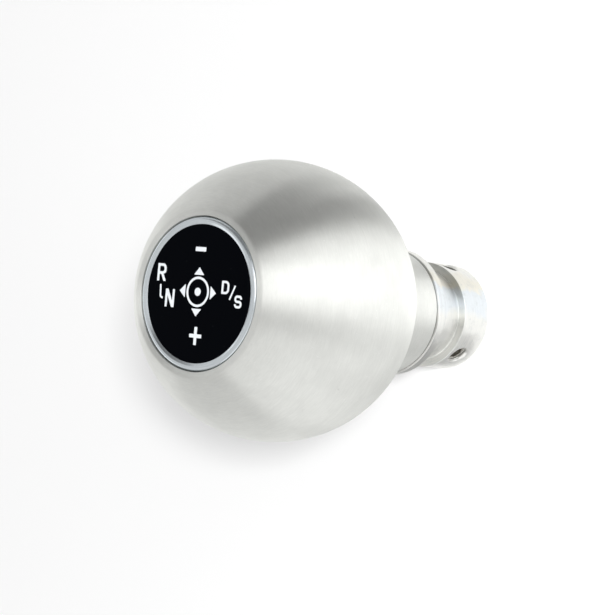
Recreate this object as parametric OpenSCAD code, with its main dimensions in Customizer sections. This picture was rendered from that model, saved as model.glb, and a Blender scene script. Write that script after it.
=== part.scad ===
// Ball gear knob with a printed shift badge and a clamp-on stem adapter.
// The knob stands on the end of its adapter: z = 0 is that end face, +Z runs up the lever
// to the badge, and +Y is the top of the printed pattern.

/* [Ball and neck] */
// Diameter of the ball
ball_d = 54; // [50:0.5:60]
// Length of the neck, from its seat to the ball's own surface
neck_l = 11.6; // [8:0.1:16]
// Diameter of the neck under the ball
neck_d = 25.4; // [24:0.1:27]
// Radius in the corner between the ball and the neck
neck_fillet_r = 2; // [0.5:0.1:4]
// Chamfer on the seat of the neck
neck_chamfer = 0.3; // [0.1:0.05:0.5]
// Width of the flat rim round the badge
face_rim = 0.9; // [0.5:0.1:1.5]
// Radius that rounds the edge of the flat face
face_edge_r = 1; // [0.5:0.1:2]

/* [Badge] */
// Diameter of the printed disc
disc_d = 25.5; // [22:0.1:28]
// Thickness of the printed disc
disc_t = 1; // [0.5:0.1:1.5]
// Gap round the printed disc
disc_gap = 0.05; // [0.02:0.01:0.1]
// Depth of the disc's top below the crest of the cup's rim
disc_sink = 0.25; // [0.1:0.05:0.6]
// Width of the cup's rim
rim_w = 1.45; // [1.2:0.05:2]
// Width of the bevel on the inside of the rim
rim_bevel = 0.5; // [0.2:0.05:0.6]
// Radius of the round on the outside of the rim
rim_round_r = 0.5; // [0.2:0.05:0.6]
// How far the crest of the rim stands proud of the flat face
rim_proud = 0.1; // [0:0.05:0.4]
// Thickness of the cup's floor
cup_floor = 1.1; // [0.8:0.1:2]
// Gap all round between the cup and its recess in the ball
cup_gap = 0.15; // [0.1:0.05:0.3]
// Thickness of the adhesive pad under the cup
pad_t = 0.5; // [0.3:0.1:0.8]
// Width of the free band between the pad's edge and the cup's edge
pad_inset = 0.8; // [0.5:0.1:2]

/* [Adapter] */
// Height of the clamp collar
collar_h = 8.75; // [8.5:0.05:10]
// Diameter of the clamp collar
collar_d = 22; // [21:0.1:24]
// Chamfer on the end of the collar
collar_chamfer = 0.5; // [0.2:0.1:0.8]
// Chamfer on the shoulder of the collar
shoulder_chamfer = 0.1; // [0.1:0.05:0.4]
// Width of the groove that holds the boot
groove_w = 9.55; // [6:0.05:12]
// Diameter at the bottom of the boot groove
groove_d = 18.7; // [18:0.1:20]
// Radius in the corners of the boot groove
groove_fillet_r = 0.2; // [0.1:0.1:0.8]
// Diameter of the flange that the neck seats on
flange_d = 25.9; // [24:0.1:27]
// Thickness of the flange
flange_t = 2.5; // [1.5:0.1:4]
// Chamfer on both edges of the flange
flange_chamfer = 0.25; // [0.1:0.05:0.5]

/* [Threaded joint] */
// Outside diameter of the adapter's threaded spigot
spigot_d = 18; // [17:0.1:19]
// Length of the spigot above the flange
spigot_l = 22; // [16:0.5:24]
// Chamfer on the end of the spigot and on the mouth of its hole
spigot_chamfer = 1; // [0.5:0.1:1.5]
// Width of the relief groove at the root of the spigot
relief_w = 2; // [1.5:0.1:3]
// Depth of the relief groove
relief_depth = 0.9; // [0.6:0.1:1.2]
// Clearance round the spigot in the ball's hole, for each radius
thread_gap = 0.05; // [0.02:0.01:0.1]
// Depth of the ball's hole past the end of the spigot
hole_spare = 3; // [1:0.5:6]
// Included angle of the drill point at the end of the hole
drill_angle = 118; // [90:1:140]

/* [Lever bore and set screws] */
// Diameter of the lever stem that the knob goes on
stem_d = 12; // [10:0.5:12]
// Clearance round the stem, for each radius
stem_gap = 0.05; // [0.05:0.01:0.2]
// Chamfer at the mouth of the bore
mouth_chamfer = 0.7; // [0.3:0.1:1]
// Height of the set screws above the adapter's end
screw_z = 5.3; // [4.4:0.1:5.6]
// Direction of the first set screw, turned from +X towards +Y
screw_turn = -46; // [-90:1:90]
// Diameter of the tapped holes
tap_d = 4.2; // [3.8:0.1:4.6]
// Depth of the countersink at the mouth of each tapped hole
sink_depth = 0.6; // [0.3:0.1:0.8]
// Clearance round each set screw, for each radius
screw_gap = 0.05; // [0.03:0.01:0.08]
// Length of a set screw
screw_l = 4; // [3:0.1:4.2]
// How far the tip stays back from the bore at rest
tip_back = 0.15; // [0.1:0.05:0.2]
// Width across the flats of the hexagon socket
hex_af = 2.5; // [2:0.1:2.6]
// Depth of the hexagon socket
hex_depth = 2; // [1:0.1:2.2]
// Diameter of the cup point's edge
point_d = 2.6; // [2:0.1:3]
// Depth of the cup in the point
point_depth = 0.5; // [0.2:0.1:0.6]
// Length of the cone behind the cup point
cone_l = 0.7; // [0.4:0.1:1]
// Chamfer round the socket end of the screw
screw_chamfer = 0.3; // [0.1:0.05:0.3]

/* [Hidden] */

$fn = 128;
// Number of set screws, spaced evenly round the collar
screw_count = 3;
// Extra length that lets a cut run clear of the face it opens
cut = 1;

ball_r = ball_d / 2;
neck_r = neck_d / 2;
collar_r = collar_d / 2;
groove_r = groove_d / 2;
flange_r = flange_d / 2;
spigot_r = spigot_d / 2;
hole_r = spigot_r + thread_gap;
bore_r = stem_d / 2 + stem_gap;
tap_r = tap_d / 2;
screw_r = tap_r - screw_gap;
disc_r = disc_d / 2;
seat_r = disc_r + disc_gap;
cup_r = seat_r + rim_w;
recess_r = cup_r + cup_gap;
face_r = recess_r + face_rim;

// Heights up the lever axis, from the adapter's end to the crest of the badge
groove_z = collar_h;
flange_z = groove_z + groove_w;
neck_z = flange_z + flange_t;
spigot_top = neck_z + spigot_l;
hole_top = spigot_top + hole_spare;
ball_z = neck_z + neck_l + sqrt(pow(ball_r, 2) - pow(neck_r, 2));
face_z = ball_z + sqrt(pow(ball_r - face_edge_r, 2) - pow(face_r, 2)) + face_edge_r;
crest_z = face_z + rim_proud;
disc_top = crest_z - disc_sink;
disc_z = disc_top - disc_t;
cup_z = disc_z - cup_floor;
recess_z = cup_z - pad_t;

aluminium_colour = [0.80, 0.80, 0.79];
badge_colour = [0.72, 0.74, 0.77];
print_colour = [0.03, 0.03, 0.04];
pad_colour = [0.85, 0.84, 0.80];
zinc_colour = [0.78, 0.80, 0.80];
screw_colour = [0.30, 0.29, 0.28];

// A rectangle in the profile plane, from one corner to the opposite one
module span(x0, y0, x1, y1) {
    translate([x0, y0]) square([x1 - x0, y1 - y0]);
}

// A solid of revolution about the lever axis, from the right half of its profile
module turned() {
    rotate_extrude() intersection() {
        children();
        span(0, -cut, ball_d, crest_z + cut);
    }
}

// Profile of a solid shaft of radius r from z0 to z1, chamfered below by c0 and above by c1
module shaft(r, z0, z1, c0 = 0, c1 = 0) {
    polygon([[0, z0], [r - c0, z0], [r, z0 + c0], [r, z1 - c1], [r - c1, z1], [0, z1]]);
}

// Profile of the chamfer that opens the mouth, at height z, of a hole of radius r from below
module mouth(r, z, size) {
    polygon([[0, z - cut], [r + size + cut, z - cut], [r, z + size], [0, z + size]]);
}

// Profile of a hollow fillet of radius r between a shaft of radius x and the shoulder at
// height z, which lies above the groove where side is 1 and below it where side is -1
module fillet(x, z, r, side) {
    difference() {
        span(x - r, min(z, z - side * r), x + r, max(z, z - side * r));
        translate([x + r, z - side * r]) circle(r);
    }
}

// Profile of the ball, with the edge of its flat face rounded
module ball_profile() {
    round_y = face_z - ball_z - face_edge_r;
    touch_y = round_y * ball_r / (ball_r - face_edge_r);
    translate([0, ball_z]) {
        intersection() {
            circle(ball_r);
            span(0, -ball_r, ball_r, touch_y);
        }
        translate([face_r, round_y]) circle(face_edge_r);
        span(0, 0, face_r, round_y + face_edge_r);
    }
}

// Profile of the blend between ball and neck, hollowed by a circle that touches both
module neck_blend_profile() {
    centre_x = neck_r + neck_fillet_r;
    centre_z = ball_z - sqrt(pow(ball_r + neck_fillet_r, 2) - pow(centre_x, 2));
    touch_x = centre_x * ball_r / (ball_r + neck_fillet_r);
    touch_z = ball_z - (ball_z - centre_z) * ball_r / (ball_r + neck_fillet_r);
    difference() {
        polygon([[0, centre_z], [centre_x, centre_z], [touch_x, touch_z], [0, touch_z]]);
        translate([centre_x, centre_z]) circle(neck_fillet_r);
    }
}

// The ball and its neck, turned from one bar, bored and tapped from below
module knob_head() {
    point_h = hole_r / tan(drill_angle / 2);
    color(aluminium_colour) turned() difference() {
        union() {
            ball_profile();
            neck_blend_profile();
            shaft(neck_r, neck_z, ball_z, c0 = neck_chamfer);
        }
        span(0, recess_z, recess_r, face_z + cut);
        span(0, neck_z - cut, hole_r, hole_top);
        polygon([[0, hole_top], [hole_r, hole_top], [0, hole_top + point_h]]);
        mouth(hole_r, neck_z, spigot_chamfer);
    }
}

// The badge's turned cup: its rim is bevelled towards the disc and rounded outside
module badge_cup() {
    crest_in = seat_r + rim_bevel;
    round_x = cup_r - rim_round_r;
    color(badge_colour) turned() difference() {
        union() {
            span(0, cup_z, cup_r, crest_z - rim_round_r);
            span(0, cup_z, round_x, crest_z);
            translate([round_x, crest_z - rim_round_r]) circle(rim_round_r);
        }
        span(0, disc_z, seat_r, crest_z + cut);
        polygon([[0, disc_top], [seat_r, disc_top], [crest_in, crest_z], [crest_in, crest_z + cut],
                 [0, crest_z + cut]]);
    }
}

// The printed disc that lies in the cup
module badge_disc() {
    color(print_colour) turned() span(0, disc_z, disc_r, disc_top);
}

// The adhesive pad between the cup and the floor of the recess
module badge_pad() {
    color(pad_colour) turned() span(0, recess_z, cup_r - pad_inset, cup_z);
}

// Places its children on the axis of set screw i, with their +Z pointing outwards
module at_screw(i) {
    turn = screw_turn + 360 / screw_count * i;
    translate([0, 0, screw_z]) rotate([0, 0, turn]) rotate([0, 90, 0]) children();
}

// A tapped hole through the collar's wall, along +Z, with its countersink
module tapped_hole() {
    cylinder(r = tap_r, h = collar_r + cut);
    translate([0, 0, collar_r - sink_depth])
        cylinder(r1 = tap_r, r2 = tap_r + sink_depth + cut, h = sink_depth + cut);
}

// The adapter, turned from one steel bar: collar, boot groove, flange and spigot
module adapter() {
    thread_z = neck_z + relief_w;
    color(zinc_colour) difference() {
        turned() difference() {
            union() {
                shaft(collar_r, 0, groove_z, c0 = collar_chamfer, c1 = shoulder_chamfer);
                shaft(groove_r, 0, neck_z);
                shaft(flange_r, flange_z, neck_z, c0 = flange_chamfer, c1 = flange_chamfer);
                shaft(spigot_r - relief_depth, flange_z, thread_z + relief_depth);
                shaft(spigot_r, thread_z, spigot_top, c0 = relief_depth, c1 = spigot_chamfer);
                fillet(groove_r, flange_z, groove_fillet_r, 1);
                fillet(groove_r, groove_z, groove_fillet_r, -1);
            }
            span(0, -cut, bore_r, spigot_top + cut);
            mouth(bore_r, 0, mouth_chamfer);
        }
        for (i = [0 : screw_count - 1]) at_screw(i) tapped_hole();
    }
}

// Set screw i, with a cup point and a hexagon socket. Its core fills the tapped hole.
module set_screw(i) {
    point_r = point_d / 2;
    color(screw_colour) at_screw(i) translate([0, 0, bore_r + tip_back]) difference() {
        rotate_extrude() polygon([
            [0, point_depth], [point_r, 0], [screw_r, cone_l],
            [screw_r, screw_l - screw_chamfer], [screw_r - screw_chamfer, screw_l], [0, screw_l]
        ]);
        translate([0, 0, screw_l - hex_depth])
            cylinder(d = hex_af / cos(30), h = hex_depth + cut, $fn = 6);
    }
}

module set_screw_1() { set_screw(0); }
module set_screw_2() { set_screw(1); }
module set_screw_3() { set_screw(2); }

knob_head();
badge_cup();
badge_disc();
badge_pad();
adapter();
set_screw_1();
set_screw_2();
set_screw_3();
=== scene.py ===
"""A turned ball gear knob: ball and neck, printed badge, clamp adapter and set screws."""

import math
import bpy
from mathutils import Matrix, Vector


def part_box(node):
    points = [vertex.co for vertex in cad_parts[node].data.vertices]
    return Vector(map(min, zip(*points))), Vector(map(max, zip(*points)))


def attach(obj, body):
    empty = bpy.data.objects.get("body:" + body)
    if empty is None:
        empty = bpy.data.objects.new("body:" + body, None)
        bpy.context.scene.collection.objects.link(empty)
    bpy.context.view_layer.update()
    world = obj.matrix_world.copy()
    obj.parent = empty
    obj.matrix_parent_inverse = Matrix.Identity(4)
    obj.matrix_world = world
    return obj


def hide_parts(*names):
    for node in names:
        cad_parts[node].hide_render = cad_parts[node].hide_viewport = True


bl_info = {
    "name": "Ball Gear Knob",
    "version": (1, 0, 0),
    "blender": (4, 5, 0),
    "location": "View3D > Sidebar > Gear Knob",
    "description": "Makes a turned ball gear knob with a printed badge, a clamp adapter and set screws",
    "category": "Add Mesh",
}

from functools import cache

import bmesh
import bpy
from bpy.props import FloatProperty, FloatVectorProperty, IntProperty, PointerProperty
from mathutils import Matrix, Vector

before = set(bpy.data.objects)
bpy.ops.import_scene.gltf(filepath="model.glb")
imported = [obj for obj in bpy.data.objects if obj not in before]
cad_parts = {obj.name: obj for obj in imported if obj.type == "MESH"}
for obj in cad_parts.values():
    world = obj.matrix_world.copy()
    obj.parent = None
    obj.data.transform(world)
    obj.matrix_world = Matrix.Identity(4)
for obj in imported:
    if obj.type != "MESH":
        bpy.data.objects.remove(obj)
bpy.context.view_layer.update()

MM = 0.001
TURN = 2 * math.pi

# Corners of the fixed model's pieces, which give the sizes that start from it
KNOB_LOW, KNOB_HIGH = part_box("knob_head")
CUP_LOW, CUP_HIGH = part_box("badge_cup")
DISC_LOW, DISC_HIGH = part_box("badge_disc")
ADAPTER_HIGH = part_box("adapter")[1]

# Facets round each large turned part, and the width across the flats of the set screws' key
FACETS = 256
KEY_WIDTH = 2.5 * MM
# Points of a turned mesh closer than the weld are merged, and closer than half of it in a finished piece.
# Edges that turn more than the sharp angle aren't smoothed.
WELD = 0.001 * MM
SHARP = math.radians(35)


# Properties: the sizes and colours that a user would change


def linear(code):
    """Linear red, green and blue of an sRGB colour written as #RRGGBB."""
    parts = [int(code[i : i + 2], 16) / 255 for i in (1, 3, 5)]
    return tuple(c / 12.92 if c <= 0.04045 else ((c + 0.055) / 1.055) ** 2.4 for c in parts)


def length(name, text, default):
    """A size property. The default is in metres."""
    return FloatProperty(name=name, description=text, default=default, min=0.0, precision=5, unit="LENGTH")


def angle(name, text, degrees):
    """An angle property. The default is in degrees."""
    return FloatProperty(name=name, description=text, default=math.radians(degrees), subtype="ANGLE")


def number(name, text, default, least):
    """A property that counts something."""
    return IntProperty(name=name, description=text, default=default, min=least)


def colour(name, text, code):
    """A colour property. The default is an sRGB hex code."""
    return FloatVectorProperty(
        name=name, description=text, default=linear(code), min=0.0, max=1.0, size=3, subtype="COLOR"
    )


class BallSizes(bpy.types.PropertyGroup):
    """Sizes of the ball and its neck."""

    radius: length("Ball radius", "Radius of the ball", KNOB_HIGH.x)
    neck_z: length("Neck seat", "Height of the neck's seat on the flange", KNOB_LOW.z)
    face_z: length("Face height", "Height of the flat face that holds the badge", KNOB_HIGH.z)
    neck_radius: length("Neck radius", "Radius of the neck under the ball", 12.7 * MM)
    neck_chamfer: length("Neck chamfer", "Chamfer on the neck's seat", 0.3 * MM)
    blend: length("Blend radius", "Radius in the corner between ball and neck", 2 * MM)
    face_radius: length("Face radius", "Radius of the flat face inside its rounded edge", 15.3 * MM)
    face_round: length("Face edge", "Radius that rounds the edge of the flat face", 1 * MM)
    recess_radius: length("Recess radius", "Radius of the badge's recess", 14.4 * MM)
    recess_z: length("Recess floor", "Height of the floor of the badge's recess", CUP_LOW.z - 0.5 * MM)
    hole_radius: length("Hole radius", "Radius of the tapped hole for the spigot", 9.05 * MM)
    hole_top: length("Hole top", "Height at which the tapped hole's drill point starts", 45.8 * MM)
    drill_angle: angle("Drill point", "Included angle of the drill point", 118)


class BadgeSizes(bpy.types.PropertyGroup):
    """Sizes of the badge's cup, disc and print."""

    cup_radius: length("Cup radius", "Outside radius of the cup", CUP_HIGH.x)
    cup_z: length("Cup floor", "Height of the cup's underside", CUP_LOW.z)
    crest_z: length("Rim crest", "Height of the crest of the cup's rim", CUP_HIGH.z)
    seat_radius: length("Seat radius", "Radius of the seat that takes the disc", 12.8 * MM)
    bevel: length("Inner bevel", "Width of the bevel on the inside of the rim", 0.5 * MM)
    outer_round: length("Outer round", "Radius of the round on the outside of the rim", 0.7 * MM)
    disc_radius: length("Disc radius", "Radius of the printed disc", DISC_HIGH.x)
    disc_z: length("Disc underside", "Height of the printed disc's underside", DISC_LOW.z)
    disc_top: length("Disc face", "Height of the printed face", DISC_HIGH.z)
    disc_edge: length("Disc edge", "Radius that softens the edge of the disc", 0.1 * MM)
    ink: length("Ink height", "How far the print stands on the disc", 0.03 * MM)
    arrow_count: number("Arrows", "Number of arrows round the middle ring", 4, 1)
    arrow_reach: length("Arrow reach", "Distance of an arrow's tip from the middle of the ring", 4.53 * MM)
    arrow_base: length("Arrow base", "Distance of an arrow's base from the middle of the ring", 3.12 * MM)
    arrow_width: length("Arrow width", "Width of an arrow's base", 2.5 * MM)


class AdapterSizes(bpy.types.PropertyGroup):
    """Sizes of the clamp adapter."""

    collar_radius: length("Collar radius", "Radius of the clamp collar", 11 * MM)
    collar_top: length("Collar height", "Height of the clamp collar", 8.75 * MM)
    collar_chamfer: length("End chamfer", "Chamfer on the end of the collar", 0.5 * MM)
    shoulder: length("Shoulder chamfer", "Chamfer on the shoulder of the collar", 0.1 * MM)
    barrel_radius: length("Barrel radius", "Radius at the bottom of the boot groove", 9.35 * MM)
    barrel_fillet: length("Barrel fillet", "Radius in the corners of the boot groove", 0.2 * MM)
    flange_radius: length("Flange radius", "Radius of the flange under the neck", ADAPTER_HIGH.x)
    flange_thickness: length("Flange thickness", "Thickness of the flange", 2.5 * MM)
    flange_chamfer: length("Flange chamfer", "Chamfer on both edges of the flange", 0.25 * MM)
    spigot_radius: length("Spigot radius", "Radius of the threaded spigot", 9 * MM)
    spigot_top: length("Spigot top", "Height of the end of the spigot", ADAPTER_HIGH.z)
    spigot_chamfer: length("Spigot chamfer", "Chamfer on the end of the spigot", 1 * MM)
    spigot_pitch: length("Spigot pitch", "Pitch of the spigot's thread", 1.5 * MM)
    spigot_thread: length("Spigot thread", "Depth of the spigot's thread", 0.8 * MM)
    relief: length("Relief depth", "Depth of the relief groove at the root of the spigot", 0.9 * MM)
    relief_width: length("Relief width", "Width of the relief groove", 2 * MM)
    bore_radius: length("Bore radius", "Radius of the bore for the lever stem", 6.05 * MM)
    mouth: length("Bore mouth", "Chamfer at the mouth of the bore", 0.7 * MM)


class ScrewSizes(bpy.types.PropertyGroup):
    """Sizes of the set screws and their tapped holes."""

    count: number("Screws", "Number of set screws round the collar", 3, 1)
    first_turn: angle("First screw", "Direction of the first screw from +X", -46)
    height: length("Screw height", "Height of the screws above the adapter's end", 5.3 * MM)
    seat: length("Tip radius", "Distance of a screw's tip from the lever axis", 6.2 * MM)
    radius: length("Screw radius", "Radius over the screw's thread", 2.05 * MM)
    screw_length: length("Screw length", "Length of a set screw", 4 * MM)
    point_radius: length("Point radius", "Radius of the cup point's edge", 1.3 * MM)
    point_depth: length("Cup depth", "Depth of the cup in the point", 0.5 * MM)
    cone: length("Cone length", "Length of the cone behind the point", 0.7 * MM)
    chamfer: length("Screw chamfer", "Chamfer round the socket end", 0.3 * MM)
    socket_radius: length("Socket radius", "Radius of the socket's corners", KEY_WIDTH / math.sqrt(3))
    socket_depth: length("Socket depth", "Depth of the hexagon socket", 2 * MM)
    hole_radius: length("Hole radius", "Radius of the tapped holes inside their thread", 2.1 * MM)
    sink: length("Countersink", "Depth of the countersink at the mouth of each hole", 0.4 * MM)
    pitch: length("Pitch", "Pitch of the screws' thread", 0.8 * MM)
    thread: length("Thread depth", "Depth of the screws' thread", 0.33 * MM)
    facets: number("Facets", "Facets round a screw", 72, 24)


class KnobColours(bpy.types.PropertyGroup):
    """Colours of the finishes, the floor and the light."""

    aluminium: colour("Aluminium", "Turned aluminium of the ball and neck", "#F2F3EF")
    aluminium_shade: colour("Aluminium shade", "Darker rings in the turned grain", "#E2E3DF")
    rim: colour("Badge rim", "Satin metal of the badge's cup", "#CDD4D8")
    disc: colour("Disc", "Black face of the printed disc", "#020306")
    ink: colour("Ink", "White print on the disc", "#E6EAEE")
    foam: colour("Foam", "Adhesive pad under the cup", "#DAD7CC")
    zinc: colour("Zinc", "Zinc plate of the adapter", "#F5F5F1")
    zinc_blue: colour("Zinc blue", "Blue tint of the passivated zinc", "#E8EEF3")
    zinc_straw: colour("Zinc straw", "Straw tint of the passivated zinc", "#F5F1E4")
    # Painted shade for the collar's shoulder, the tapped holes and the seam under the neck
    zinc_painted_shade: colour("Zinc painted shade", "Thin plate in corners and holes", "#8C8C88")
    screw: colour("Screw steel", "Set screw where some of its black finish is left", "#B2AFA8")
    screw_worn: colour("Worn steel", "Set screw where the black finish has worn off", "#E0DDD6")
    floor: colour("Floor", "Studio floor", "#F4F4F4")
    sky: colour("Sky", "Studio light from all round", "#FFFFFF")


# Outlines: lists of points in a plane


def arc(centre, radius, start, end, steps):
    """Points of an arc from the start angle to the end angle, both included."""
    angles = [start + (end - start) * i / steps for i in range(steps + 1)]
    return [(centre[0] + radius * math.cos(a), centre[1] + radius * math.sin(a)) for a in angles]


def rounded(corners, steps=4, closed=True):
    """The outline through corners (x, y) or (x, y, radius), each rounded by an arc of its radius."""
    points = []
    last = len(corners) - 1
    for i, corner in enumerate(corners):
        here = Vector(corner[:2])
        radius = corner[2] if len(corner) > 2 else 0.0
        if radius <= 0 or (not closed and i in (0, last)):
            points.append(tuple(here))
            continue
        to_last = (Vector(corners[i - 1][:2]) - here).normalized()
        to_next = (Vector(corners[(i + 1) % len(corners)][:2]) - here).normalized()
        half = to_last.angle(to_next) / 2
        centre = here + (to_last + to_next).normalized() * radius / math.sin(half)
        first = here + to_last * radius / math.tan(half) - centre
        final = here + to_next * radius / math.tan(half) - centre
        start = math.atan2(first.y, first.x)
        sweep = math.remainder(math.atan2(final.y, final.x) - start, TURN)
        points += arc(centre, radius, start, start + sweep, steps)
    return points


def supported(points, margin=0.05 * MM):
    """The outline with a point a margin from each end of its long straight runs, so that they shade flat."""
    done = [points[0]]
    for start, end in zip(points, points[1:]):
        a, b = Vector(start), Vector(end)
        run = (b - a).length
        if run > 4 * margin:
            done += [tuple(a.lerp(b, margin / run)), tuple(a.lerp(b, 1 - margin / run))]
        done.append(tuple(b))
    return done


def stroke(line, width, radius=0.0):
    """The closed outline of a pen stroke of one width along a line with rounded corners."""
    middle = [Vector(p) for p in rounded([(x, y, radius) for x, y in line], 8, closed=False)]
    left, right = [], []
    for i, here in enumerate(middle):
        before, after = middle[max(i - 1, 0)], middle[min(i + 1, len(middle) - 1)]
        along = (after - before).normalized()
        aside = Vector((-along.y, along.x)) * width / 2
        left.append(tuple(here + aside))
        right.append(tuple(here - aside))
    return left + right[::-1]


def threaded_run(start, end, depth, pitch, fade, fine=10):
    """Points of a straight run with a screw thread on it, each with the thread's depth there. Each pitch has
    so many fine steps, and the thread fades in and out over a share of the run at its ends."""
    rings = max(2, math.ceil((Vector(end) - Vector(start)).length / (pitch / fine)))
    shares = [i / rings for i in range(rings + 1)]
    return [
        (*Vector(start).lerp(Vector(end), share), depth * min(1.0, share / fade, (1 - share) / fade))
        for share in shares
    ]


# Node trees

LAID_ALONG_X = (0.0, math.pi / 2, 0.0)


def add(tree, kind, inputs=(), **settings):
    """Adds a node and sets its properties and inputs. The inputs are a list in the node's own order, or a
    dictionary by name. Each is a value, a socket, or a node, which stands for its first output in use."""
    made = tree.nodes.new(kind)
    for name, value in settings.items():
        setattr(made, name, value)
    named = {s.name: s for s in reversed(made.inputs) if s.enabled}
    for key, value in inputs.items() if isinstance(inputs, dict) else enumerate(inputs):
        socket = named[key] if isinstance(key, str) else made.inputs[key]
        if isinstance(value, bpy.types.Node):
            value = next(s for s in value.outputs if s.enabled)
        if isinstance(value, bpy.types.NodeSocket):
            tree.links.new(value, socket)
        else:
            socket.default_value = value
    return made


def geometry_tree(name, **sockets):
    """A Geometry Nodes tree with named inputs, each given as its type, and what it is given through them."""
    tree = bpy.data.node_groups.new(name, "GeometryNodeTree")
    for label, kind in {"Geometry": "Geometry", **sockets}.items():
        label = label.replace("_", " ")
        tree.interface.new_socket(label, in_out="INPUT", socket_type="NodeSocket" + kind)
    tree.interface.new_socket("Geometry", in_out="OUTPUT", socket_type="NodeSocketGeometry")
    return tree, add(tree, "NodeGroupInput").outputs


def closed_tree(tree, geometry, material):
    """Ends a tree in Realize Instances and Set Material."""
    real = add(tree, "GeometryNodeRealizeInstances", [geometry])
    dressed = add(tree, "GeometryNodeSetMaterial", {"Geometry": real, "Material": material})
    add(tree, "NodeGroupOutput", {"Geometry": dressed})
    return tree


@cache
def revolve_group():
    """Turns a half section, a chain of points in the XZ plane, about the Z axis. The section's thread value
    is the depth of a screw thread cut at that point, outwards where it is above zero."""
    tree, given = geometry_tree("Revolve", Facets="Int", Pitch="Float")
    section, facets = given["Geometry"], given["Facets"]
    size = add(tree, "GeometryNodeAttributeDomainSize", [section], component="MESH")
    columns = add(tree, "FunctionNodeIntegerMath", [facets, 1], operation="ADD")
    grid = add(tree, "GeometryNodeMeshGrid", [1.0, 1.0, size.outputs["Point Count"], columns])
    index = add(tree, "GeometryNodeInputIndex")
    row = add(tree, "FunctionNodeIntegerMath", [index, columns], operation="DIVIDE_FLOOR")
    column = add(tree, "FunctionNodeIntegerMath", [index, columns], operation="MODULO")
    part = add(tree, "ShaderNodeMath", [column, facets], operation="DIVIDE")
    turn = add(tree, "ShaderNodeMath", [part, TURN], operation="MULTIPLY")
    position = add(tree, "GeometryNodeInputPosition")
    thread = add(tree, "GeometryNodeInputNamedAttribute", {"Name": "thread"}, data_type="FLOAT")
    at_row = {"Geometry": section, "Index": row}
    place, depth = (
        add(tree, "GeometryNodeSampleIndex", {**at_row, "Value": value}, data_type=kind)
        for value, kind in ((position, "FLOAT_VECTOR"), (thread, "FLOAT"))
    )
    point = add(tree, "ShaderNodeSeparateXYZ", [place]).outputs
    # A groove with sloping flanks and narrow flats, one pitch further up for each turn. A flat takes this
    # share of the pitch on each side of its middle.
    flat = 0.06
    rise = add(tree, "ShaderNodeMath", [point["Z"], given["Pitch"]], operation="DIVIDE")
    phase = add(tree, "ShaderNodeMath", [rise, part], operation="SUBTRACT")
    zigzag = add(tree, "ShaderNodeMath", [phase, 0.5], operation="PINGPONG")
    groove = add(tree, "ShaderNodeMapRange", {"Value": zigzag, "From Min": flat, "From Max": 0.5 - flat})
    radius = add(tree, "ShaderNodeMath", [groove, depth, point["X"]], operation="MULTIPLY_ADD")
    across, aside = (add(tree, "ShaderNodeMath", [turn], operation=kind) for kind in ("COSINE", "SINE"))
    x, y = (add(tree, "ShaderNodeMath", [radius, way], operation="MULTIPLY") for way in (across, aside))
    around = add(tree, "ShaderNodeCombineXYZ", [x, y, point["Z"]])
    placed = add(tree, "GeometryNodeSetPosition", {"Geometry": grid, "Position": around})
    welded = add(tree, "GeometryNodeMergeByDistance", {"Geometry": placed, "Distance": WELD})
    # A section that runs up on its outside gets faces that look inwards, so they are turned over
    outward = add(tree, "GeometryNodeFlipFaces", [welded])
    add(tree, "NodeGroupOutput", {"Geometry": outward})
    return tree


@cache
def copies_group():
    """Copies its geometry round the Z axis, evenly, from a first direction."""
    tree, given = geometry_tree("Copies round the axis", Count="Int", First_turn="Float")
    points = add(tree, "GeometryNodeMeshLine", {"Count": given["Count"], "Offset": (0.0, 0.0, 0.0)})
    step = add(tree, "ShaderNodeMath", [TURN, given["Count"]], operation="DIVIDE")
    index = add(tree, "GeometryNodeInputIndex")
    turn = add(tree, "ShaderNodeMath", [index, step, given["First turn"]], operation="MULTIPLY_ADD")
    spin = add(tree, "ShaderNodeCombineXYZ", [0.0, 0.0, turn])
    shape = {"Points": points, "Instance": given["Geometry"], "Rotation": spin}
    copies = add(tree, "GeometryNodeInstanceOnPoints", shape)
    real = add(tree, "GeometryNodeRealizeInstances", [copies])
    add(tree, "NodeGroupOutput", {"Geometry": real})
    return tree


def revolved(tree, given):
    """The body turned from a tree's own section, with its facets and its pitch."""
    section = {key: given[key] for key in ("Geometry", "Facets", "Pitch")}
    return add(tree, "GeometryNodeGroup", section, node_tree=revolve_group())


@cache
def turned_tree():
    """A part turned from its half section."""
    tree, given = geometry_tree("Turned part", Facets="Int", Pitch="Float", Material="Material")
    return closed_tree(tree, revolved(tree, given), given["Material"])


def adapter_tree():
    """The turned adapter, less a ring of tapped holes that are turned from a section of their own."""
    tree, given = geometry_tree(
        "Adapter", Facets="Int", Pitch="Float", Hole="Object", Hole_facets="Int", Hole_pitch="Float",
        Hole_height="Float", Hole_count="Int", First_turn="Float", Material="Material",
    )
    body = revolved(tree, given)
    hole = add(tree, "GeometryNodeObjectInfo", {"Object": given["Hole"]}).outputs["Geometry"]
    section = {"Geometry": hole, "Facets": given["Hole facets"], "Pitch": given["Hole pitch"]}
    hole = add(tree, "GeometryNodeGroup", section, node_tree=revolve_group())
    lift = add(tree, "ShaderNodeCombineXYZ", [0.0, 0.0, given["Hole height"]])
    laid = add(
        tree, "GeometryNodeTransform", {"Geometry": hole, "Translation": lift, "Rotation": LAID_ALONG_X}
    )
    ring = {"Geometry": laid, "Count": given["Hole count"], "First turn": given["First turn"]}
    holes = add(tree, "GeometryNodeGroup", ring, node_tree=copies_group())
    parts = {"Mesh 1": body, "Mesh 2": holes}
    drilled = add(tree, "GeometryNodeMeshBoolean", parts, operation="DIFFERENCE", solver="EXACT")
    return closed_tree(tree, drilled, given["Material"])


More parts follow.
